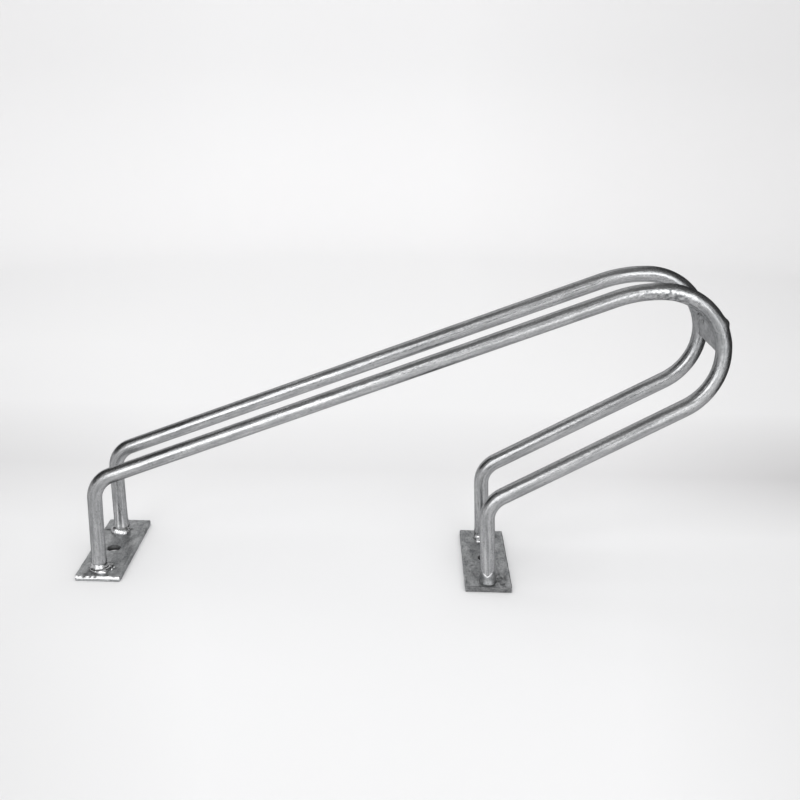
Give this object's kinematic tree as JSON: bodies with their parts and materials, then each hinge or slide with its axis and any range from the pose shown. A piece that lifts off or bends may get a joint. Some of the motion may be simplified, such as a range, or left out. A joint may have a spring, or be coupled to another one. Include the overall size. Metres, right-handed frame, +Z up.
{
  "type": "hoop bike rack",
  "caption": "Floor-standing wheel rack of bent round bar: twin hoops that climb to a rounded crown, on flat foot plates with an anchor hole each, joined at the crown.",
  "frame": {"origin": "middle of the base: the centre of the overall bounding box seen from above, at floor level", "axes": "+X runs from the low entry end to the crown, +Y to the rack's left, +Z up"},
  "size_m": [0.6804, 0.15, 0.3317],
  "materials": {
    "galvanised_bar": "hot-dip zinc over drawn bar, bright and streaked",
    "galvanised_plate": "hot-dip zinc over flat bar, dull and mottled",
    "galvanised_weld": "hot-dip zinc over rippled weld bead, bright"
  },
  "bodies": {
    "root": {"right_hoop": "galvanised_bar", "left_hoop": "galvanised_bar", "entry_foot_plate": "galvanised_plate", "crown_foot_plate": "galvanised_plate", "bridge_plate": "galvanised_plate", "entry_right_leg_weld": "galvanised_weld", "entry_left_leg_weld": "galvanised_weld", "crown_right_leg_weld": "galvanised_weld", "crown_left_leg_weld": "galvanised_weld", "bridge_right_inner_weld": "galvanised_weld", "bridge_right_outer_weld": "galvanised_weld", "bridge_left_inner_weld": "galvanised_weld", "bridge_left_outer_weld": "galvanised_weld"}
  },
  "joints": []
}
